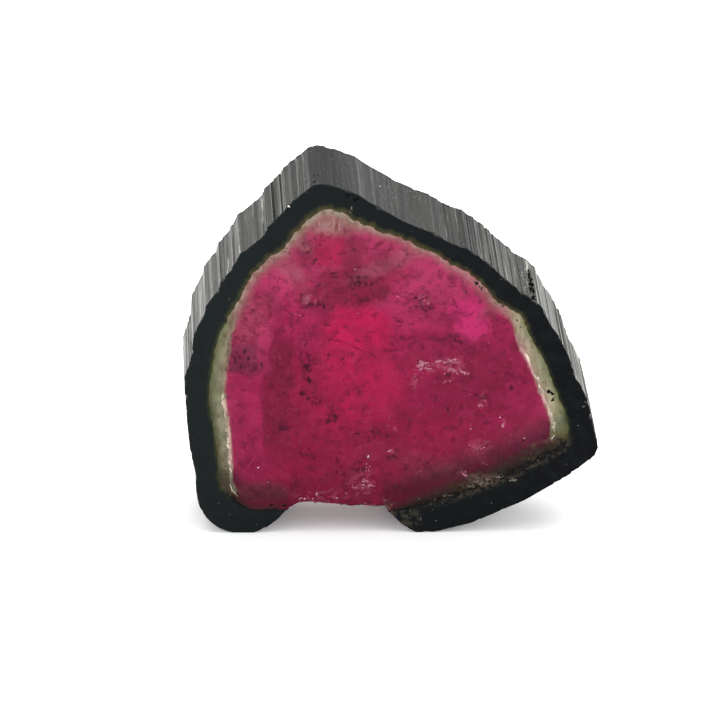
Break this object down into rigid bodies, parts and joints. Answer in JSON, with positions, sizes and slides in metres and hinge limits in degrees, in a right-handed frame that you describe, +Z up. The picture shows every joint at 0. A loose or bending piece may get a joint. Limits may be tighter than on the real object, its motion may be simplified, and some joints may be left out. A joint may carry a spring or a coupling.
{
  "type": "bicolor tourmaline slab",
  "caption": "Upright polished cross-section slice of a watermelon tourmaline crystal, pink see-through core in a dark striated rind.",
  "frame": {"origin": "on the surface the slab stands on, under the middle of its width and thickness", "axes": "+Z up; Y along the crystal's own growth axis, through the thickness, with the viewed polished face towards -Y; X across the width"},
  "size_m": [0.0226, 0.0044, 0.0217],
  "materials": {
    "rind": "polished ends, glossy striated prism faces",
    "core": "polished, see-through",
    "inclusions": "sealed in the core"
  },
  "bodies": {
    "root": {"slab": "rind"}
  },
  "joints": []
}
